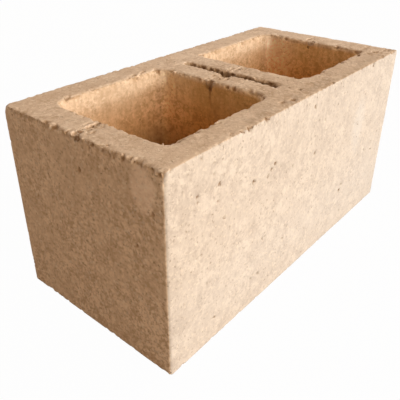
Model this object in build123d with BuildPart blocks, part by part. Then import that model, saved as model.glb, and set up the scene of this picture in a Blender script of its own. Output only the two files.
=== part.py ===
from build123d import *
from math import atan, degrees
import os

# Two-core hollow concrete block, standing as it leaves the mould: on its lower bed face, with the
# cores upright. Millimetres. The origin is the middle of the lower bed face, +X runs along the
# block, +Y across it and +Z up. The block is one casting, so it is one solid.

# Outside: a 400 x 200 x 200 module, less a 10 mm mortar joint each way
length = 390.0
width = 190.0
height = 190.0
arris_radius = 2.0  # the four upright outer corners

# Walls, at the upper bed face where the tapered cores leave them thinnest
face_shell = 30.0  # each long wall
end_web = 31.0  # each end wall
middle_web = 62.0  # the double wall between the cores

# Cores
core_corner_radius = 12.0  # in plan, at the upper bed face
core_lean = 2.5  # how far each core wall leans in on its way down

# Slot through the middle web, where the block is split into two half blocks
slot_width = 8.0  # at the upper bed face
slot_lean = 1.0  # how far each slot wall leans in on its way down
slot_end_wall = 37.0  # solid left between each end of the slot and the long face

# Groove along the top of the three webs, left by the bar that carries the mould's cores
bar_groove_width = 12.0
bar_groove_floor = 6.0
bar_groove_depth = 5.0

# Sizes that follow from the ones above
core_length = (length - 2 * end_web - middle_web) / 2
core_width = width - 2 * face_shell
core_pitch = core_length + middle_web
slot_length = width - 2 * slot_end_wall
upper_bed = Plane.XY.offset(height)


def draft(lean):
    """Draft angle, in degrees, of a wall that leans by this much over the block's height."""
    return degrees(atan(lean / height))


with BuildPart() as concrete_block:
    # Outer body, with its upright arrises eased
    with BuildSketch():
        RectangleRounded(length, width, arris_radius)
    extrude(amount=height)

    # Cores, right through, widest at the upper bed face so that the mould strips upwards
    with BuildSketch(upper_bed):
        with GridLocations(core_pitch, 0, 2, 1):
            RectangleRounded(core_length, core_width, core_corner_radius)
    extrude(amount=-height, taper=draft(core_lean), mode=Mode.SUBTRACT)

    # Split slot, right through the middle web
    with BuildSketch(upper_bed):
        SlotOverall(slot_length, slot_width, rotation=90)
    extrude(amount=-height, taper=draft(slot_lean), mode=Mode.SUBTRACT)

    # Bar groove, with sloping sides, from end to end across the webs
    with BuildSketch(Plane.YZ):
        with BuildLine():
            Polyline(
                (-bar_groove_width / 2, height),
                (-bar_groove_floor / 2, height - bar_groove_depth),
                (bar_groove_floor / 2, height - bar_groove_depth),
                (bar_groove_width / 2, height),
                close=True,
            )
        make_face()
    extrude(amount=length / 2, both=True, mode=Mode.SUBTRACT)

concrete_block.part.label = "concrete_block"
os.makedirs("parts", exist_ok=True)
export_step(concrete_block.part, "parts/concrete_block.step")
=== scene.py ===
import math

import bmesh
import bpy
from mathutils import Matrix, Vector


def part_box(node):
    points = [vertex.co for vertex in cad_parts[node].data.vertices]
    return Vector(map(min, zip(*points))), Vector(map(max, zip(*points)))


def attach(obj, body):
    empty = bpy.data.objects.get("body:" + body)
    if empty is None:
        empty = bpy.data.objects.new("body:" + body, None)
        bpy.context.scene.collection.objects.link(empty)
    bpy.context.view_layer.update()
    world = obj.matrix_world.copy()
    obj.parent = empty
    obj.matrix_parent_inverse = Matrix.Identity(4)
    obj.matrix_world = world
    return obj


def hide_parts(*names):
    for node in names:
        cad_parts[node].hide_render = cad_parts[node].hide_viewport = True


# Hollow concrete block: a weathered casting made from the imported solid, on a pale studio floor.
# Sizes are in metres; the casting's node trees and the finish work in millimetres.

MM = 0.001

# View of the block
camera_azimuth = math.radians(-49.41)
camera_elevation = math.radians(28.94)
camera_roll = math.radians(-0.14)
camera_place = Vector((-0.400, -0.296, 0.345))
camera_lens = 45.8
camera_shift = (0.0145, -0.056)

# Mesh of the casting
even_voxel = 1.0 * MM
weld_voxel = 0.85 * MM
join_distance = 1e-6  # points of the solid that are closer than this are one
triangle_target = 192000
least_points = 1000.0  # a bit of the mesh with fewer points than this is loose
sharp_angle = math.radians(40)  # an edge of the solid that turns by more than this is an arris

# Walls and slot of the solid, which the marks on the casting go by, in millimetres
end_web = 31.0
web_side = 31.0  # of the middle web, from the block's middle
slot_side = 4.0
slot_end = 58.0

# Bar mark across the webs: its size in the solid, and how much of its depth stays open
mark_width = 12.0
mark_depth = 5.0
filled_open = 0.12
crossing_open = 0.6
crossing_x = -3.0  # where it crosses the slot
notch_x = -web_side  # where it breaks out of the middle web

# Colours of the finish
dark_paste = (0.60, 0.42, 0.265, 1)
pale_paste = (0.88, 0.69, 0.50, 1)
dry_paste = (0.67, 0.69, 0.70, 1)
lime_bloom = (0.84, 0.81, 0.77, 1)
# Painted shade for pores, scars, the notch of the bar mark and the strip under the top arris of the ends
pore_shade_brown = (0.29, 0.165, 0.08, 1)
pale_grain = (0.93, 0.80, 0.64, 1)
fresh_grain = (0.95, 0.76, 0.55, 1)
# Painted shade in the split slot
slot_shade_brown = (0.26, 0.155, 0.08, 1)
hollow_brown = (0.33, 0.185, 0.085, 1)
deepest_brown = (0.15, 0.08, 0.035, 1)

# Tints that a colour is multiplied by
dull_tint = (0.94, 0.93, 0.92, 1)
# Painted shade: the ends browner
end_shade_tint = (1.0, 0.96, 0.92, 1)
bed_tint = (0.935, 0.93, 0.95, 1)
sunned_tint = (1.10, 1.13, 1.18, 1)
smear_tint = (1.28, 1.34, 1.46, 1)
grime_tint = (0.84, 0.83, 0.82, 1)
# Painted shade deeper in the cores
core_shade_tint = (1.0, 0.78, 0.54, 1)
# Painted shade low in the cores, darker still
low_core_shade_tint = (0.63, 0.575, 0.44, 1)
# Painted shade on the cross walls towards the front, painted light towards the back and in the far core
front_wall_shade_tint = (1.0, 0.87, 0.55, 1)
back_wall_light_tint = (1.3, 1.38, 1.38, 1)
far_core_light_tint = (1.14, 1.17, 1.28, 1)

# Stage
floor_half = 6.0
white = (1, 1, 1, 1)
floor_grey = (0.58, 0.54, 0.50, 1)
fill_light = (1.0, 0.63, 0.37, 1)

# Scars: middle, radius and depth, in millimetres
scars = [
    # in the bar mark, from the near end to the far one
    ((-195, -5, 188), 4.6, 3.2),
    ((-190, -3, 190), 2.6, 2.4),
    ((-187, 1, 190), 3.4, 3.2),
    ((-182, 2, 190), 2.6, 2.4),
    ((-178, -2, 190), 2.4, 2.0),
    ((-175, 1, 190), 3.2, 2.8),
    ((-170, -1, 190), 2.4, 2.0),
    ((-166, 2, 190), 2.8, 2.4),
    ((-31, 1, 190), 9.0, 7.0),
    ((-19, -2, 191), 3.6, 2.4),
    ((-7, 0, 190), 6.5, 5.0),
    ((12, 0, 190), 3.2, 2.6),
    ((20, 1, 190), 2.8, 2.0),
    ((167, -3, 191), 4.0, 2.6),
    # round the top
    ((-195, 82, 189), 2.4, 1.8),
    ((-194, -70, 191), 5.5, 1.0),
    ((-194, -79, 191), 5.5, 1.0),
    ((-195, -66, 189), 2.2, 2.0),
    ((-195, -73, 188), 2.0, 1.8),
    ((-195, -84, 188), 2.4, 2.0),
    ((-30, -45, 192), 5.0, 3.0),
    ((-31, -53, 192), 6.0, 3.5),
    ((-107, -94, 190), 3.0, 2.4),
    ((-98, -94, 190), 3.8, 3.0),
    ((-74, -95, 189), 4.0, 3.2),
    ((-36, -84, 190), 3.2, 2.2),
    ((-25, -88, 190), 3.2, 2.2),
    ((22, -93, 190), 2.6, 2.0),
    ((41, -93, 190), 2.8, 2.0),
    ((2, -78, 190), 2.6, 1.6),
    ((160, -76, 190), 3.0, 2.0),
    ((170, -78, 190), 4.0, 2.4),
    ((130, -95, 187), 3.0, 2.0),
    # on the front face
    ((-89, -95, 138), 2.6, 2.0),
    ((-67, -95, 134), 2.6, 1.8),
    ((-62, -95, 139), 2.2, 1.6),
    ((-57, -95, 142), 2.6, 1.8),
    ((-136, -95, 156), 2.4, 1.4),
    ((30, -95, 156), 2.2, 1.4),
    ((16, -95, 125), 2.0, 1.4),
    ((164, -95, 75), 2.6, 1.8),
    ((89, -95, 50), 3.0, 2.0),
    ((92, -95, 57), 2.4, 1.6),
    ((-32, -95, 49), 2.6, 1.8),
    ((-73, -95, 31), 2.6, 1.8),
    ((-139, -95, 24), 2.4, 1.8),
    ((-69, -95, 69), 2.2, 1.5),
    ((-128, -95, 122), 2.2, 1.5),
    ((-162, -95, 157), 2.2, 1.5),
    ((-161, -95, 151), 2.0, 1.4),
]

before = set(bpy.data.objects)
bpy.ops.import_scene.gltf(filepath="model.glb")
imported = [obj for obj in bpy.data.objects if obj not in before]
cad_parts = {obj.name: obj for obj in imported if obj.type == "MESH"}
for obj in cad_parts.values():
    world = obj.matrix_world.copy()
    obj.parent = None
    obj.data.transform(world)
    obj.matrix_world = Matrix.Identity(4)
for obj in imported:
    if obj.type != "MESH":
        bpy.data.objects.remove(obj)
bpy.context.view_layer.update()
block_low, block_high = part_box("concrete_block")
half_length = block_high.x / MM
half_width = block_high.y / MM
height = block_high.z / MM

# From the block's middle, where the long arrises of the cores begin to count and where they do fully
mouth_from = 0.6 * half_width
mouth_full = 0.66 * half_width


class Field:
    """A node socket that takes part in sums and products, so that a formula reads as one."""

    def __init__(self, graph, socket):
        self.graph = graph
        self.socket = socket

    def __add__(self, other):
        return self.graph.math("ADD", self, other)

    def __sub__(self, other):
        return self.graph.math("SUBTRACT", self, other)

    def __rsub__(self, other):
        return self.graph.math("SUBTRACT", other, self)

    def __mul__(self, other):
        return self.graph.math("MULTIPLY", self, other)

    def __truediv__(self, other):
        return self.graph.math("DIVIDE", self, other)

    def __pow__(self, other):
        return self.graph.math("POWER", self, other)

    def __abs__(self):
        return self.graph.math("ABSOLUTE", self)

    def __rtruediv__(self, other):
        return self.graph.math("DIVIDE", other, self)

    __radd__ = __add__
    __rmul__ = __mul__


class Graph:
    """Adds nodes to one tree and joins them. A value may be a number, a vector or a field."""

    def __init__(self, tree):
        self.tree = tree

    def feed(self, socket, value):
        if isinstance(value, Field):
            value = value.socket
        if isinstance(value, bpy.types.NodeSocket):
            self.tree.links.new(value, socket)
        else:
            socket.default_value = value

    def node(self, kind, inputs=None, **settings):
        made = self.tree.nodes.new(kind)
        for name, value in settings.items():
            setattr(made, name, value)
        for key, value in (inputs or {}).items():
            self.feed(made.inputs[key], value)
        return made

    def out(self, node, key=0):
        return Field(self, node.outputs[key])

    def math(self, operation, *values):
        made = self.node("ShaderNodeMath", operation=operation)
        for socket, value in zip(made.inputs, values):
            self.feed(socket, value)
        return self.out(made)

    def least(self, first, second):
        return self.math("MINIMUM", first, second)

    def most(self, first, second):
        return self.math("MAXIMUM", first, second)

    def vector_math(self, operation, *values):
        made = self.node("ShaderNodeVectorMath", operation=operation)
        for socket, value in zip(made.inputs, values):
            self.feed(socket, value)
        return self.out(made)

    def distance(self, first, second):
        made = self.node("ShaderNodeVectorMath", {0: first, 1: second}, operation="DISTANCE")
        return self.out(made, "Value")

    def scaled(self, vector, factor):
        made = self.node("ShaderNodeVectorMath", {"Vector": vector, "Scale": factor}, operation="SCALE")
        return self.out(made)

    def parts(self, vector):
        made = self.node("ShaderNodeSeparateXYZ", {"Vector": vector})
        return [self.out(made, axis) for axis in "XYZ"]

    def joined(self, x, y, z):
        return self.out(self.node("ShaderNodeCombineXYZ", {"X": x, "Y": y, "Z": z}))

    def ramp(self, value, low, high, smooth=True):
        """0 below low and 1 above high, or the other way round if low is the larger."""
        kind = "SMOOTHSTEP" if smooth else "LINEAR"
        inputs = {"Value": value, "From Min": low, "From Max": high}
        if low > high:
            inputs = {"Value": value, "From Min": high, "From Max": low, "To Min": 1.0, "To Max": 0.0}
        return self.out(self.node("ShaderNodeMapRange", inputs, interpolation_type=kind))

    def noise(self, place, size, detail=2.0, roughness=0.5, layer=0):
        """Noise about 0.5, with lumps of about this size."""
        moved = self.vector_math("ADD", place, (17.3 * layer, -31.7 * layer, 11.9 * layer))
        inputs = {"Vector": moved, "Scale": 1.0 / size, "Detail": detail, "Roughness": roughness}
        return self.out(self.node("ShaderNodeTexNoise", inputs))

    def warped(self, place, size, shift, layer=0):
        """A place moved a little, each point its own way, so that round shapes on it turn ragged."""
        moved = self.vector_math("ADD", place, (5.9 * layer, 19.1 * layer, -7.3 * layer))
        made = self.node("ShaderNodeTexNoise", {"Vector": moved, "Scale": 1.0 / size, "Detail": 1.0})
        aside = self.vector_math("SUBTRACT", self.out(made, "Color"), (0.5, 0.5, 0.5))
        return self.vector_math("ADD", place, self.scaled(aside, 4.0 * shift))

    def cells(self, place, size, layer=0):
        """Distance from the nearest of points scattered this far apart, and its two random numbers."""
        moved = self.vector_math("ADD", place, (13.1 * layer, 7.7 * layer, -23.9 * layer))
        made = self.node("ShaderNodeTexVoronoi", {"Vector": moved, "Scale": 1.0 / size})
        pick = self.parts(self.out(made, "Color"))
        return self.out(made, "Distance") * size, pick[0], pick[1]

    def mix(self, factor, first, second, blend="MIX"):
        made = self.tree.nodes.new("ShaderNodeMix")
        made.data_type = "RGBA"
        made.blend_type = blend
        self.feed(made.inputs["Factor"], factor)
        colours = [s for s in made.inputs if s.type == "RGBA"]
        self.feed(colours[0], first)
        self.feed(colours[1], second)
        return Field(self, next(s for s in made.outputs if s.type == "RGBA"))

    def tinted(self, factor, colour, tint):
        return self.mix(factor, colour, tint, blend="MULTIPLY")


def new_geometry_tree(name, sockets):
    """An empty geometry tree with these named inputs: name to (socket type, value)."""
    tree = bpy.data.node_groups.new(name, "GeometryNodeTree")
    tree.interface.new_socket("Geometry", in_out="INPUT", socket_type="NodeSocketGeometry")
    for label, (kind, value) in sockets.items():
        socket = tree.interface.new_socket(label, in_out="INPUT", socket_type=kind)
        if value is not None:
            socket.default_value = value
    tree.interface.new_socket("Geometry", in_out="OUTPUT", socket_type="NodeSocketGeometry")
    return tree


def set_inputs(modifier, values):
    """Sets a tree's inputs on its modifier, by the identifier of the socket with that name."""
    for item in modifier.node_group.interface.items_tree:
        if item.item_type == "SOCKET" and item.in_out == "INPUT" and item.name in values:
            modifier[item.identifier] = values[item.name]


# Casting

def point_place(graph):
    """Where each point is, in millimetres."""
    return graph.scaled(graph.out(graph.node("GeometryNodeInputPosition")), 1 / MM)


def solid_geometry(graph, given):
    """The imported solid, with its loose triangles joined."""
    solid = {"Object": given.outputs["Solid"]}
    info = graph.node("GeometryNodeObjectInfo", solid, transform_space="ORIGINAL")
    inputs = {"Geometry": info.outputs["Geometry"], "Distance": join_distance}
    return graph.node("GeometryNodeMergeByDistance", inputs).outputs["Geometry"]


def distance_to(graph, geometry, element):
    """Millimetres from each point to the nearest edge or face of a geometry."""
    near = graph.node("GeometryNodeProximity", target_element=element)
    graph.feed(near.inputs[0], geometry)
    return graph.out(near, "Distance") * (1 / MM)


def arris_distance(graph, solid, x, y):
    """Millimetres to the nearest arris: a sharp edge of the solid, or an upright outer corner."""
    angle = graph.node("GeometryNodeInputMeshEdgeAngle")
    blunt = graph.node("FunctionNodeCompare", data_type="FLOAT", operation="LESS_THAN")
    graph.feed(blunt.inputs[0], angle.outputs["Unsigned Angle"])
    graph.feed(blunt.inputs[1], sharp_angle)
    edges = graph.node("GeometryNodeDeleteGeometry", domain="EDGE", mode="EDGE_FACE")
    graph.feed(edges.inputs["Geometry"], solid)
    graph.feed(edges.inputs["Selection"], blunt.outputs["Result"])
    sharp = distance_to(graph, edges.outputs["Geometry"], "EDGES")
    from_end = half_length - abs(x)
    from_side = half_width - abs(y)
    corner = (from_end * from_end + from_side * from_side) ** 0.5
    return graph.least(sharp, corner)


def mark_opening(graph, x):
    """How much of the bar mark's depth is open, from the near web to the far one."""
    crossing = graph.ramp(abs(x - crossing_x), 8.0, 4.0)
    before_far = graph.ramp(x, half_length - end_web, half_length - end_web - 10.0)
    return before_far * filled_open + crossing * crossing_open


def mark_lift(graph, drawn, x, y, below):
    """How far the bar mark's floor is filled up, with the walls under it stretched to follow."""
    reach = 4 * mark_depth
    broken = 0.45 + graph.ramp(graph.noise(drawn, 6.0, detail=2.0, layer=7), 0.36, 0.6) * 0.65
    floor = mark_opening(graph, x) * broken * mark_depth
    above = graph.ramp(below, 0.0, mark_depth, smooth=False) * floor
    under = graph.ramp(below, mark_depth, reach, smooth=False) * (reach - floor)
    mapped = above + under + graph.most(below - reach, 0.0)
    across = graph.ramp(abs(y), 0.62 * mark_width, 0.5 * mark_width)
    return (below - mapped) * across


def scar_depth(graph, place):
    """How deep the scars go at each place, with ragged outlines."""
    ragged = graph.warped(graph.warped(place, 4.5, 1.3, layer=19), 1.8, 0.75, layer=21)
    deepest = None
    for middle, radius, depth in scars:
        one = graph.ramp(graph.distance(ragged, middle), radius, 0.45 * radius) * depth
        deepest = one if deepest is None else graph.most(deepest, one)
    return deepest


def lost_grains(graph, drawn, arris, size, share, layer):
    """How deep grains of this size have fallen out along the arrises, where a share of them has."""
    jitter = graph.noise(drawn, 0.9 * size, detail=1.0, layer=layer) * size - size / 2
    _, pick, pick_depth = graph.cells(drawn, size, layer=layer)
    chance = graph.ramp((arris + jitter) / size, 1.1, 0.1, smooth=False) * share
    return graph.ramp(chance - pick, 0.0, 0.1) * (0.4 + pick_depth * 0.6) * size


def scattered_crumbs(graph, given, geometry, per_area):
    """Crumbs on a geometry, so many to the square metre, each turned and stretched its own way."""
    seed = graph.out(given, "Seed")
    spread = graph.node("GeometryNodeDistributePointsOnFaces", {"Seed": seed})
    graph.feed(spread.inputs["Mesh"], geometry)
    graph.feed(spread.inputs["Density"], per_area)
    crumb = graph.node("GeometryNodeMeshIcoSphere", {"Radius": graph.out(given, "Crumb Size") * MM})
    turn = graph.node("FunctionNodeRandomValue", {"Seed": seed}, data_type="FLOAT_VECTOR")
    turn.inputs["Max"].default_value = (2 * math.pi, 2 * math.pi, 2 * math.pi)
    stretch = graph.node("FunctionNodeRandomValue", {"Seed": seed + 1}, data_type="FLOAT_VECTOR")
    stretch.inputs["Min"].default_value = (0.5, 0.5, 0.4)
    stretch.inputs["Max"].default_value = (1.4, 1.4, 1.0)
    crumbs = graph.node("GeometryNodeInstanceOnPoints", {
        "Points": spread.outputs["Points"],
        "Instance": crumb.outputs["Mesh"],
        "Rotation": turn.outputs["Value"],
        "Scale": stretch.outputs["Value"],
    })
    return crumbs.outputs["Instances"]


def weathering_tree(material):
    """Worn arrises, pits, a part-filled bar mark and loose crumbs, made from the evened solid."""
    tree = new_geometry_tree("weathered_casting", {
        "Solid": ("NodeSocketObject", None),
        "Sand Size": ("NodeSocketFloat", 2.5),
        "Gravel Size": ("NodeSocketFloat", 5.6),
        "Arris Wear": ("NodeSocketFloat", 1.0),
        "Chip Depth": ("NodeSocketFloat", 2.2),
        "Pit Depth": ("NodeSocketFloat", 1.3),
        "Wave Depth": ("NodeSocketFloat", 0.6),
        "Crumb Size": ("NodeSocketFloat", 1.3),
        "Seed": ("NodeSocketInt", 3),
    })
    graph = Graph(tree)
    given = graph.node("NodeGroupInput")
    place = point_place(graph)
    drawn = graph.scaled((41.0, 23.0, 67.0), graph.out(given, "Seed"))
    drawn = graph.vector_math("ADD", place, drawn)
    x, y, z = graph.parts(place)
    drawn_x, drawn_y, drawn_z = graph.parts(drawn)
    below = height - z
    even = graph.node("GeometryNodeBlurAttribute", {"Iterations": 5}, data_type="FLOAT_VECTOR")
    graph.feed(even.inputs["Value"], graph.out(graph.node("GeometryNodeInputNormal")))
    normal = graph.vector_math("NORMALIZE", graph.out(even))
    facing = graph.parts(normal)
    wall = graph.ramp(abs(facing[2]), 0.7, 0.3)

    arris = arris_distance(graph, solid_geometry(graph, given), x, y)
    top = graph.ramp(below, 16.0, 6.0)
    in_mark = graph.ramp(abs(y), 0.75 * mark_width, 0.45 * mark_width) * graph.ramp(below, 11.0, 5.0)
    near_half = graph.ramp(x, 40.0, -60.0)
    off_slot = graph.ramp(abs(x), slot_side + 4.0, slot_side + 10.0)

    # Grains lost along the arrises: most round the top, at the core mouths and on the near end
    from_outside = graph.least(half_length - abs(x), half_width - abs(y))
    inside = graph.ramp(from_outside, 8.0, 16.0)
    back_mouth = inside * graph.ramp(y, mouth_from, mouth_full)
    web_mouth = inside * graph.ramp(abs(x), web_side + 11.0, web_side + 5.0)
    front_mouth = inside * graph.ramp(y, -mouth_from, -mouth_full)
    by_front = graph.ramp(y, 0.62 * half_width, 0.35 * half_width)
    near_end = graph.ramp(x, -half_length + 12.0, -half_length + 4.0) * top * by_front
    wear = graph.out(given, "Arris Wear")
    sand_share = 0.2 + graph.ramp(graph.noise(drawn, 22.0, detail=2.0, layer=1), 0.35, 0.62) * 0.4
    sand_share = sand_share + near_end * 0.15 + front_mouth * 0.15 + web_mouth * 0.15
    sand_share = sand_share * (0.35 + top * (0.55 + inside * 0.35 + near_end * 0.3))
    sand_share = sand_share * wear * (1.0 - in_mark * 0.9)
    sand_loss = lost_grains(graph, drawn, arris, graph.out(given, "Sand Size"), sand_share, layer=3)
    gravel_size = graph.out(given, "Gravel Size")
    gravel_share = 0.15 + graph.ramp(graph.noise(drawn, 30.0, detail=2.0, layer=2), 0.4, 0.62) * 0.45
    gravel_share = gravel_share + inside * 0.08 + front_mouth * 0.35
    gravel_share = gravel_share * top * (0.3 + inside * 0.9 + near_end * 0.6)
    gravel_share = gravel_share * wear * (1.0 - in_mark)
    gravel_share = gravel_share * (1.0 - graph.most(back_mouth, web_mouth) * 0.6)
    gravel_loss = lost_grains(graph, drawn, arris, gravel_size, gravel_share, layer=11)
    missing = graph.most(sand_loss, gravel_loss)
    mouth = inside * graph.ramp(below, 12.0, 6.0) * off_slot
    eased = graph.ramp(arris, 2.0, 0.0) * 0.25 + graph.ramp(arris, 4.0, 0.0) * mouth * 0.5
    fray = graph.noise(drawn, 3.6, detail=2.0, roughness=0.6, layer=20) - 0.45
    fray = fray * graph.ramp(arris, 4.5, 0.0) * top * (1.5 + inside * 3.0) * (1.0 - in_mark)

    # Chips: larger bites with a rough floor
    _, rough, _ = graph.cells(drawn, 3.4, layer=12)
    broken = graph.ramp(graph.noise(drawn, 17.0, detail=2.0, layer=4), 0.65, 0.71)
    chip = broken * graph.ramp(arris, 6.5, 1.0) * (0.3 + rough) * graph.out(given, "Chip Depth")
    chip = chip * (0.4 + top * 0.6) * off_slot * (1.0 - in_mark)

    # Rubble left in the bar mark, with a crack through it on the near web
    astray = graph.noise(graph.joined(drawn_x, 0.0, 0.0), 7.0, detail=2.0, layer=17) * 24.0 - 12.0
    torn = graph.ramp(graph.noise(drawn, 5.0, detail=1.0, layer=18), 0.42, 0.55)
    crack = graph.ramp(abs(y + astray), 2.6, 0.8) * torn * 1.6
    crack = crack * graph.ramp(x, -0.6 * half_length, -0.75 * half_length)
    before_far = graph.ramp(x, 60.0, 20.0)
    off_notch = graph.ramp(abs(x - (notch_x + 1.0)), 6.0, 11.0)
    rubble = in_mark * ((rough - 0.4) * 1.1 + crack) * (0.25 + before_far * 0.75) * off_notch

    # Voids between grains: in the bar mark, along the near arris and by the far front corner
    near_arris = near_end * graph.ramp(arris, 7.0, 2.5)
    far_corner = graph.ramp(x, 0.75 * half_length, 0.88 * half_length)
    far_corner = far_corner * graph.ramp(y, -0.5 * half_width, -0.7 * half_width)
    far_corner = far_corner * graph.ramp(y, -0.97 * half_width, -0.9 * half_width)
    far_corner = far_corner * graph.ramp(below, 4.0, 2.0)
    loose = graph.most(in_mark * near_half, graph.most(near_arris, far_corner * 0.7))
    void_from, void_pick, _ = graph.cells(graph.warped(drawn, 3.0, 1.0, layer=14), 5.0, layer=13)
    voids = graph.ramp(void_pick, 0.5, 0.65) * graph.ramp(void_from, 2.4, 1.2) * loose * 2.6

    # Pits with steep sides, a little taller than wide and gathered in clusters
    tall = graph.warped(graph.joined(drawn_x, drawn_y, drawn_z * 0.75), 2.6, 0.9, layer=15)
    cluster = graph.ramp(graph.noise(drawn, 45.0, detail=2.0, layer=5), 0.35, 0.7)
    chain = graph.ramp(abs(graph.noise(drawn, 30.0, detail=2.0, layer=16) - 0.5), 0.05, 0.0)
    pit_from, pit_pick, _ = graph.cells(tall, 6.5, layer=6)
    pit_radius = (0.2 + pit_pick ** 4.0 * 1.6) * (0.3 + cluster * 0.5 + chain * 0.8) * (0.7 + wall * 0.3)
    pits = graph.ramp(pit_from / pit_radius, 1.0, 0.45) * pit_radius * graph.out(given, "Pit Depth")

    # Slow waves of the faces
    wave = graph.noise(drawn, 48.0, detail=2.0, layer=8) * graph.out(given, "Wave Depth")

    # Split slot, pinched here and there
    in_slot = graph.ramp(abs(x), slot_side + 3.0, slot_side + 1.0)
    in_slot = in_slot * graph.ramp(abs(y), slot_end + 6.0, slot_end) * wall
    pinch = graph.noise(graph.joined(drawn_x * 0.5, drawn_y, drawn_z * 0.3), 3.4, detail=2.0, layer=9)
    pinch = (graph.ramp(pinch, 0.36, 0.64) * 2.4 - 1.0 - graph.ramp(y, 10.0, -30.0) * 0.4) * in_slot

    # Seam down the middle web under the bar mark
    seam_wall = graph.ramp(facing[0], -0.7, -0.9)
    seam_wall = seam_wall * graph.ramp(abs(x), 0.5 * half_length, 0.3 * half_length)
    wander = graph.noise(graph.joined(0.0, 0.0, drawn_z), 14.0, layer=10) * 5.0 - 2.5
    seam = graph.ramp(abs(y + wander), 2.4, 0.8) * seam_wall * graph.ramp(below, 42.0, 12.0) * 1.7

    # Far corner of the near end, rounded
    from_end = half_length + x
    from_back = half_width - y
    corner_from = graph.math("SQRT", from_end * from_end + from_back * from_back + below * below)
    blunt = graph.ramp(corner_from, 8.0, 0.0) * 1.8

    # All of it taken off inwards, with the bar mark's floor lifted
    gone = graph.most(graph.most(missing, voids), scar_depth(graph, place))
    depth = gone + eased + fray + blunt + chip + rubble + pits + wave + seam - pinch
    depth = depth - 0.5 * graph.out(given, "Wave Depth")
    squared = graph.most(graph.most(abs(facing[0]), abs(facing[1])), abs(facing[2]))
    inward = graph.scaled(normal, depth / squared * -MM)
    lift = graph.joined(0.0, 0.0, mark_lift(graph, drawn, x, y, below) * MM)
    moved = graph.node("GeometryNodeSetPosition", {
        "Geometry": given.outputs["Geometry"],
        "Offset": graph.vector_math("ADD", inward, lift),
    })

    # Crumbs: in the bar mark, and along the arrises of the top
    on_arris = graph.ramp(arris, 2.6, 1.0) * graph.ramp(below, 5.0, 2.5)
    on_arris = on_arris * (inside * 0.8 + near_arris) * off_slot
    per_area = (in_mark * off_slot * near_half * 0.01 + on_arris * 0.04) * (1 / (MM * MM))
    whole = graph.node("GeometryNodeJoinGeometry")
    graph.feed(whole.inputs[0], moved.outputs["Geometry"])
    graph.feed(whole.inputs[0], scattered_crumbs(graph, given, moved.outputs["Geometry"], per_area))
    finish_tree(graph, kept_in_box(graph, whole.outputs["Geometry"]), material)
    return tree


def kept_in_box(graph, geometry):
    """A geometry with every point brought inside the solid's box."""
    loose = graph.node("GeometryNodeRealizeInstances", {"Geometry": geometry})
    place = graph.out(graph.node("GeometryNodeInputPosition"))
    place = graph.vector_math("MAXIMUM", place, tuple(block_low))
    place = graph.vector_math("MINIMUM", place, tuple(block_high))
    inputs = {"Geometry": loose.outputs["Geometry"], "Position": place}
    return graph.node("GeometryNodeSetPosition", inputs).outputs["Geometry"]


def finish_tree(graph, geometry, material):
    """Ends a tree with plain faces in the block's finish."""
    plain = graph.node("GeometryNodeRealizeInstances", {"Geometry": geometry})
    inputs = {"Geometry": plain.outputs["Geometry"], "Material": material}
    coated = graph.node("GeometryNodeSetMaterial", inputs)
    graph.node("NodeGroupOutput", {0: coated.outputs["Geometry"]})


def face_normal(graph, solid):
    """The way that the solid's nearest face looks."""
    flat = graph.node("GeometryNodeFieldOnDomain", data_type="FLOAT_VECTOR", domain="FACE")
    graph.feed(flat.inputs["Value"], graph.out(graph.node("GeometryNodeInputNormal")))
    near = graph.node("GeometryNodeSampleNearestSurface", data_type="FLOAT_VECTOR")
    graph.feed(near.inputs["Mesh"], solid)
    graph.feed(near.inputs["Value"], flat.outputs["Value"])
    return graph.out(near, "Value")


def marked(graph, geometry, name, value, kind="FLOAT"):
    """A geometry that carries this value on each point, for the finish to read."""
    inputs = {"Geometry": geometry, "Name": name}
    stored = graph.node("GeometryNodeStoreNamedAttribute", inputs, data_type=kind)
    graph.feed(stored.inputs["Value"], value)
    return stored.outputs["Geometry"]


def without_loose_bits(graph, geometry):
    """A geometry without the bits that hang on to nothing."""
    island = graph.node("GeometryNodeInputMeshIsland")
    inputs = {"Value": 1.0, "Group ID": island.outputs["Island Index"]}
    points = graph.node("GeometryNodeAccumulateField", inputs, data_type="FLOAT", domain="POINT")
    loose = graph.node("FunctionNodeCompare", data_type="FLOAT", operation="LESS_THAN")
    graph.feed(loose.inputs[0], points.outputs["Total"])
    graph.feed(loose.inputs[1], least_points)
    kept = graph.node("GeometryNodeDeleteGeometry", {"Geometry": geometry}, domain="POINT")
    graph.feed(kept.inputs["Selection"], loose.outputs["Result"])
    return kept.outputs["Geometry"]


def surface_tree(material):
    """Drops loose bits, and marks each point's depth, its distance from an arris and its face."""
    tree = new_geometry_tree("casting_surface", {"Solid": ("NodeSocketObject", None)})
    graph = Graph(tree)
    given = graph.node("NodeGroupInput")
    geometry = kept_in_box(graph, without_loose_bits(graph, given.outputs["Geometry"]))
    place = point_place(graph)
    x, y, z = graph.parts(place)
    below = height - z
    solid = solid_geometry(graph, given)
    in_mark = graph.ramp(abs(y), 0.75 * mark_width, 0.5 * mark_width) * graph.ramp(below, 12.0, 9.0)
    facing = graph.parts(graph.out(graph.node("GeometryNodeInputNormal")))
    in_mark = in_mark * graph.ramp(abs(facing[0]), 0.92, 0.75)
    under_top = graph.most(below - 0.8, 0.0) * 0.8
    depth = distance_to(graph, solid, "FACES") * (1.0 - in_mark) + under_top * in_mark
    geometry = marked(graph, geometry, "hollow", depth)
    geometry = marked(graph, geometry, "arris", arris_distance(graph, solid, x, y))
    geometry = marked(graph, geometry, "face", face_normal(graph, solid), kind="FLOAT_VECTOR")
    smooth = graph.node("GeometryNodeSetShadeSmooth", {"Geometry": geometry})
    finish_tree(graph, smooth.outputs["Geometry"], material)
    return tree


def add_remesh(piece, name, voxel):
    remesh = piece.modifiers.new(name, "REMESH")
    remesh.mode = "VOXEL"
    remesh.voxel_size = voxel


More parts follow.
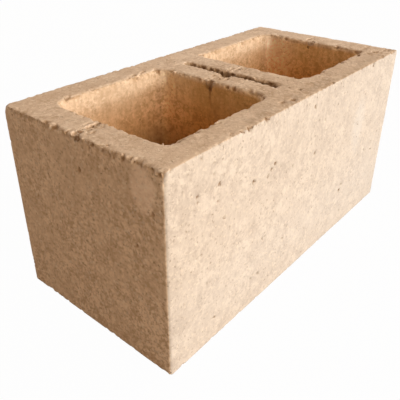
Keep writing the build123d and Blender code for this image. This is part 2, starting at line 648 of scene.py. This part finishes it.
def add_tree(piece, name, tree, inputs):
    modifier = piece.modifiers.new(name, "NODES")
    modifier.node_group = tree
    set_inputs(modifier, inputs)


def casting_mesh(solid, material):
    """The block's mesh: the solid evened out, weathered, welded, thinned and marked."""
    mesh = solid.data.copy()
    welded = bmesh.new()
    welded.from_mesh(mesh)
    bmesh.ops.remove_doubles(welded, verts=welded.verts, dist=join_distance)
    welded.to_mesh(mesh)
    welded.free()
    piece = bpy.data.objects.new("cast_block", mesh)
    bpy.context.scene.collection.objects.link(piece)

    add_remesh(piece, "even", even_voxel)
    add_tree(piece, "weather", weathering_tree(material), {"Solid": solid})
    add_remesh(piece, "weld", weld_voxel)
    view = bpy.context.evaluated_depsgraph_get()
    quads = len(piece.evaluated_get(view).data.polygons)
    thin = piece.modifiers.new("thin", "DECIMATE")
    thin.ratio = triangle_target / (2 * quads)
    add_tree(piece, "surface", surface_tree(material), {"Solid": solid})

    view = bpy.context.evaluated_depsgraph_get()
    finished = bpy.data.meshes.new_from_object(piece.evaluated_get(view))
    piece.modifiers.clear()
    piece.data = finished
    return piece


# Finish

def new_material(name):
    material = bpy.data.materials.new(name)
    material.use_nodes = True
    material.node_tree.nodes.clear()
    return material, Graph(material.node_tree)


def paste_smear(graph, place, x, y, z):
    """A patch of smooth pale paste on the near end, close under its front top corner."""
    ragged = graph.noise(place, 9.0, detail=3.0, roughness=0.6, layer=9) - 0.5
    across = (y + 0.78 * half_width) / 12.0
    up = (z - 0.89 * height) / 19.0
    spread = across * across + up * up + ragged * 1.6
    return graph.ramp(spread, 1.5, 0.4) * graph.ramp(x, -half_length + 8.0, -half_length + 5.0)


def concrete_material():
    """Sand-coloured concrete: cloudy paste, sand grains, pores darkened with painted shade, drag marks
    up the walls, and painted shade and painted light in the cores and the slot.
    """
    material, graph = new_material("sand_concrete")
    place = graph.scaled(graph.out(graph.node("ShaderNodeTexCoord"), "Object"), 1 / MM)
    x, y, z = graph.parts(place)
    hollow = graph.out(graph.node("ShaderNodeAttribute", attribute_name="hollow"), "Fac")
    arris = graph.out(graph.node("ShaderNodeAttribute", attribute_name="arris"), "Fac")
    face = graph.parts(graph.out(graph.node("ShaderNodeAttribute", attribute_name="face"), "Vector"))

    # Which part of the block each place is on
    inside = graph.ramp(graph.least(half_length - abs(x), half_width - abs(y)), 6.0, 14.0)
    in_mark = graph.ramp(abs(y), 10.0, 8.0) * graph.ramp(z, height - 9.0, height - 5.0)
    beds = graph.most(graph.ramp(abs(face[2]), 0.5, 0.9), in_mark * graph.ramp(abs(face[0]), 0.7, 0.4))
    ends = graph.ramp(abs(face[0]), 0.5, 0.9) * (1.0 - inside)
    sides = graph.ramp(abs(face[1]), 0.25, 0.6) * graph.ramp(half_width - abs(y), 9.0, 6.0)
    cores = inside * (1.0 - beds)
    cross_walls = cores * graph.ramp(face[0], -0.5, -0.9)
    cross_walls = cross_walls * graph.ramp(abs(x), slot_side + 6.0, slot_side + 12.0)
    cross_walls = cross_walls * graph.ramp(z, height - 1.0, height - 7.0)
    far_web = graph.ramp(x, half_length - end_web - 8.0, half_length - end_web)
    webs = beds * (graph.ramp(abs(x), web_side + 11.0, web_side + 1.0) + far_web)
    in_slot = graph.ramp(abs(x), slot_side + 2.5, slot_side + 1.0)
    in_slot = in_slot * graph.ramp(abs(y), slot_end + 5.0, slot_end + 2.0)
    in_slot = in_slot * graph.ramp(z, height, height - 4.0)

    # Tone, from clouds a hand wide down to single grains; the ends are the most open in texture
    smear = paste_smear(graph, place, x, y, z) * ends
    lower = graph.ramp(z, 0.6 * height, 0.2 * height)
    patchy = graph.ramp(graph.noise(place, 42.0, detail=2.0, layer=13), 0.35, 0.65)
    open_cores = 0.3 + graph.ramp(z, height - 20.0, height - 45.0) * 0.7
    open_texture = 1.0 + ends * (0.7 + lower * 0.8) + cores * open_cores + sides * 0.3 + webs * 0.4
    open_texture = open_texture * (0.65 + patchy * 0.8) * (1.0 - smear * 0.5)
    cloudy = graph.noise(place, 60.0, detail=2.0, layer=1) - 0.5
    mottled = graph.noise(place, 11.0, detail=2.0, roughness=0.6, layer=2) - 0.5
    drag = graph.noise(graph.joined(x, y, z * 0.2), 3.5, detail=2.0, layer=4) - 0.5
    _, coarse_grain, _ = graph.cells(place, 4.2, layer=3)
    _, sand_grain, pale_pick = graph.cells(place, 2.1, layer=7)
    gritty = graph.noise(place, 4.5, detail=3.0, roughness=0.7, layer=10) - 0.5
    grains = (coarse_grain - 0.5) * 0.2 + (sand_grain - 0.5) * 0.35
    blotched = graph.noise(place, 20.0, detail=2.0, layer=15) - 0.5
    tone = 0.5 + cloudy * 0.5 + (mottled * (0.7 + sides * 0.6) + grains + gritty * 0.7) * open_texture
    streaked = sides * graph.ramp(z, 0.4 * height, 0.8 * height)
    tone = tone + drag * (0.1 + cores * 0.65 + sides * 0.3 + streaked * 0.4)
    tone = tone + blotched * (0.25 + beds * 0.45 + cores * 0.25)
    colour = graph.mix(tone, dark_paste, pale_paste)

    # Drier paste on the long faces, the ends browner as painted shade, a smear, grime and a pale bloom
    front = graph.ramp(y, 20.0, -20.0)
    dry = 0.24 + graph.ramp(x, -half_length, half_length, smooth=False) * 0.12 + lower * 0.06
    dry = 0.12 + front * dry
    colour = graph.mix(sides * dry, colour, dry_paste)
    duller = graph.most(graph.ramp(z, 50.0, 0.0), graph.ramp(x, -0.5 * half_length, -half_length) * 0.6)
    colour = graph.tinted(sides * front * duller, colour, dull_tint)
    colour = graph.tinted(ends, colour, end_shade_tint)
    colour = graph.tinted(beds, colour, bed_tint)
    sunned = beds * graph.ramp(x + y, -0.5 * half_length, half_length)
    colour = graph.tinted(sunned, colour, sunned_tint)
    colour = graph.tinted(smear, colour, smear_tint)
    grime = beds * graph.ramp(y, -0.76 * half_width, -0.92 * half_width) * graph.ramp(x, -130.0, -95.0)
    grime = grime * graph.ramp(graph.noise(place, 14.0, detail=3.0, roughness=0.6, layer=17), 0.36, 0.6)
    colour = graph.tinted(grime, colour, grime_tint)
    bloom_wide, bloom_tall = 16.0, 34.0
    bloom_middle = (0.58 * half_length / bloom_wide, 0.0, 125.0 / bloom_tall)
    bloom_from = graph.distance(graph.joined(x / bloom_wide, 0.0, z / bloom_tall), bloom_middle)
    bloom = sides * front * graph.ramp(bloom_from + cloudy * 2.0 + mottled * 0.8, 1.3, 0.2)
    colour = graph.mix(bloom * 0.3, colour, lime_bloom)

    # Painted shade in pores of two sizes, in a strip under the top arris of the ends, in the scars and
    # in the notch of the bar mark; and pale grains
    cluster = graph.noise(place, 38.0, detail=2.0, layer=8)
    chain = graph.ramp(abs(graph.noise(place, 26.0, detail=2.0, layer=11) - 0.5), 0.07, 0.0)
    ragged = graph.warped(place, 2.4, 0.8, layer=12)
    pore_from, pore_pick, pore_tone = graph.cells(ragged, 6.0, layer=5)
    pore = graph.ramp(pore_from / (0.4 + pore_tone * 1.5), 1.0, 0.4)
    worn_edge = graph.ramp(arris, 7.0, 1.5) * graph.ramp(z, height - 9.0, height - 4.0)
    pore = pore * graph.ramp(pore_pick + cluster * 0.6 + chain * 0.35 + worn_edge * 0.25, 0.9, 1.2)
    pore = pore * (0.15 + pore_tone * 0.5 + ends * 0.1) * (1.0 - cores * 0.4)
    fine_from, fine_pick, _ = graph.cells(ragged, 3.2, layer=6)
    fine = graph.ramp(fine_from, 1.3, 0.5) * graph.ramp(fine_pick + cluster * 0.4, 0.8, 1.0)
    fine = fine * (0.2 + ends * 0.3 + sides * 0.06) * (1.0 - cores * 0.7)
    # Painted shade in a ragged strip on the ends just under the top arris
    shade_under_arris = graph.ramp(z, height - 6.0, height - 2.0) * ends
    shade_under_arris = shade_under_arris * graph.ramp(graph.noise(place, 6.0, detail=2.0, layer=14), 0.38, 0.58)
    dark = graph.most(graph.most(pore, fine) * (1.0 - smear * 0.5), shade_under_arris * 0.45)
    # Painted shade in the scars, by their depth
    scarred = scar_depth(graph, place)
    scarred = graph.ramp(scarred, 0.4, 1.4) * 0.5 + graph.ramp(scarred, 1.2, 2.2) * 0.4
    dark = graph.most(dark, scarred * graph.ramp(abs(x - notch_x), 8.0, 10.0))
    # Painted shade in the notch where the bar mark breaks out of the middle web
    notch_long, notch_tall = 0.8, 0.75
    notch_middle = ((notch_x + 3.0) * notch_long, 1.0, 186.0 * notch_tall)
    torn_x, torn_y, torn_z = graph.parts(graph.warped(place, 3.0, 0.9, layer=22))
    torn = graph.joined(torn_x * notch_long, torn_y, torn_z * notch_tall)
    notch_from = graph.distance(torn, notch_middle)
    dark = graph.most(dark, graph.ramp(notch_from, 6.0, 4.0) * graph.ramp(height - z, 0.8, 2.4) * 0.8)
    colour = graph.mix(dark, colour, pore_shade_brown)
    pale = graph.ramp(pale_pick, 0.86, 0.92)
    colour = graph.mix(pale * 0.3, colour, pale_grain)

    # Painted shade deeper in the cores and in the slot; painted shade and painted light on the cross
    # walls
    # Painted shade: darker and browner further down the cores
    deep_shade = cores * (0.2 + graph.ramp(z, height - 5.0, height - 60.0) * 0.8)
    colour = graph.tinted(deep_shade, colour, core_shade_tint)
    # Painted shade, darker still low in the cores
    low_core_shade = cores * graph.ramp(z, height - 35.0, height - 90.0)
    colour = graph.tinted(low_core_shade, colour, low_core_shade_tint)
    # Painted shade on the cross walls of the cores towards the front, painted light towards the back
    towards_back = graph.ramp(y, 0.0, 0.65 * half_width)
    colour = graph.tinted(cross_walls * (1.0 - towards_back), colour, front_wall_shade_tint)
    colour = graph.tinted(cross_walls * towards_back, colour, back_wall_light_tint)
    # Painted light on the cross walls of the far core
    far_core = cross_walls * graph.ramp(x, 0.4 * half_length, 0.6 * half_length)
    colour = graph.tinted(far_core, colour, far_core_light_tint)
    # Painted shade in the split slot
    colour = graph.mix(in_slot * 0.7, colour, slot_shade_brown)

    # Shaded hollows, and fresh grains on worn arrises
    colour = graph.mix(graph.ramp(hollow, 0.6, 2.2) * 0.65, colour, hollow_brown)
    colour = graph.mix(graph.ramp(hollow, 2.4, 4.5) * 0.6, colour, deepest_brown)
    worn = graph.ramp(arris, 3.5, 0.5) * graph.ramp(hollow, 0.9, 0.2) * beds * inside * (1.0 - in_mark)
    crumbled = graph.ramp(y, -mouth_from, -mouth_full)
    crumbled = crumbled * graph.ramp(graph.noise(place, 12.0, detail=2.0, layer=16), 0.4, 0.6)
    colour = graph.mix(worn * (0.3 + crumbled * 0.5), colour, fresh_grain)

    # Fine relief, below the mesh's own
    relief = (mottled * 0.8 + gritty) * (1.0 - sides * 0.35) + sand_grain * 0.35
    relief = relief + drag * (0.1 + cores * 0.6) - dark * 1.4
    bump = graph.node("ShaderNodeBump", {"Strength": 0.7, "Distance": 0.8 * MM, "Height": relief})
    surface = graph.node("ShaderNodeBsdfPrincipled", {
        "Base Color": colour,
        "Roughness": 0.92,
        "Specular IOR Level": 0.25,
        "Normal": bump.outputs["Normal"],
    })
    graph.node("ShaderNodeOutputMaterial", {"Surface": surface.outputs["BSDF"]})
    return material


# Stage

def background_rays(graph):
    """1 for the rays that show the background: the camera's own, and those by way of gloss or glass."""
    path = graph.node("ShaderNodeLightPath")
    seen = graph.most(graph.out(path, "Is Camera Ray"), graph.out(path, "Is Glossy Ray"))
    return graph.most(seen, graph.out(path, "Is Transmission Ray"))


def floor_material():
    """White to the camera but for the block's shadow, and warm where it lights the block."""
    material, graph = new_material("pale_floor")
    matt = graph.node("ShaderNodeBsdfDiffuse", {"Color": floor_grey})
    bright = graph.node("ShaderNodeEmission", {"Color": white, "Strength": 1.0})
    seen = background_rays(graph) * 0.98
    mixed = graph.node("ShaderNodeMixShader", {0: seen, 1: matt.outputs[0], 2: bright.outputs[0]})
    graph.node("ShaderNodeOutputMaterial", {"Surface": mixed.outputs[0]})
    return material


def make_floor():
    mesh = bpy.data.meshes.new("floor")
    corners = [(across * floor_half, along * floor_half, 0)
               for across, along in ((-1, -1), (1, -1), (1, 1), (-1, 1))]
    mesh.from_pydata(corners, [], [(0, 1, 2, 3)])
    mesh.materials.append(floor_material())
    floor = bpy.data.objects.new("floor", mesh)
    bpy.context.scene.collection.objects.link(floor)


def direction(azimuth, elevation):
    """Towards a viewer or a lamp: azimuth 0 is on the -Y side, and turns towards +X."""
    flat = math.cos(elevation)
    return Vector((math.sin(azimuth) * flat, -math.cos(azimuth) * flat, math.sin(elevation)))


def make_camera():
    data = bpy.data.cameras.new("camera")
    data.lens = camera_lens
    data.shift_x, data.shift_y = camera_shift
    camera = bpy.data.objects.new("camera", data)
    turn = direction(camera_azimuth, camera_elevation).to_track_quat("Z", "Y").to_matrix()
    rolled = turn @ Matrix.Rotation(camera_roll, 3, "Z")
    camera.matrix_world = Matrix.Translation(camera_place) @ rolled.to_4x4()
    bpy.context.scene.collection.objects.link(camera)
    bpy.context.scene.camera = camera


def add_lamp(name, azimuth, elevation, spread, colour, level):
    """A far lamp, as wide as its spread, in degrees; level 1 lights a white face towards it to white."""
    data = bpy.data.lights.new(name, "SUN")
    data.energy = math.pi * level
    data.angle = math.radians(spread)
    data.color = colour
    lamp = bpy.data.objects.new(name, data)
    towards = direction(math.radians(azimuth), math.radians(elevation))
    lamp.matrix_world = towards.to_track_quat("Z", "Y").to_matrix().to_4x4()
    bpy.context.scene.collection.objects.link(lamp)


def make_lights():
    cool, warm, plain = (0.88, 0.94, 1.0), (1.0, 0.88, 0.71), (1.0, 1.0, 1.0)
    add_lamp("key", azimuth=0, elevation=7, spread=5, colour=cool, level=0.40)
    add_lamp("soft_front", azimuth=0, elevation=30, spread=40, colour=warm, level=0.49)
    add_lamp("soft_side", azimuth=60, elevation=25, spread=40, colour=plain, level=0.40)
    add_lamp("soft_back", azimuth=180, elevation=20, spread=40, colour=plain, level=0.32)

    world = bpy.data.worlds.new("studio")
    world.use_nodes = True
    world.node_tree.nodes.clear()
    graph = Graph(world.node_tree)
    seen = background_rays(graph)
    fill = graph.node("ShaderNodeBackground", {"Color": fill_light, "Strength": 0.22})
    bright = graph.node("ShaderNodeBackground", {"Color": white, "Strength": 1.0})
    both = graph.node("ShaderNodeMixShader", {0: seen, 1: fill.outputs[0], 2: bright.outputs[0]})
    graph.node("ShaderNodeOutputWorld", {"Surface": both.outputs[0]})
    bpy.context.scene.world = world


bpy.context.scene.view_settings.view_transform = "Standard"
make_camera()
make_floor()
make_lights()
concrete_block = casting_mesh(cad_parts["concrete_block"], concrete_material())
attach(concrete_block, "root")
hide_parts("concrete_block")
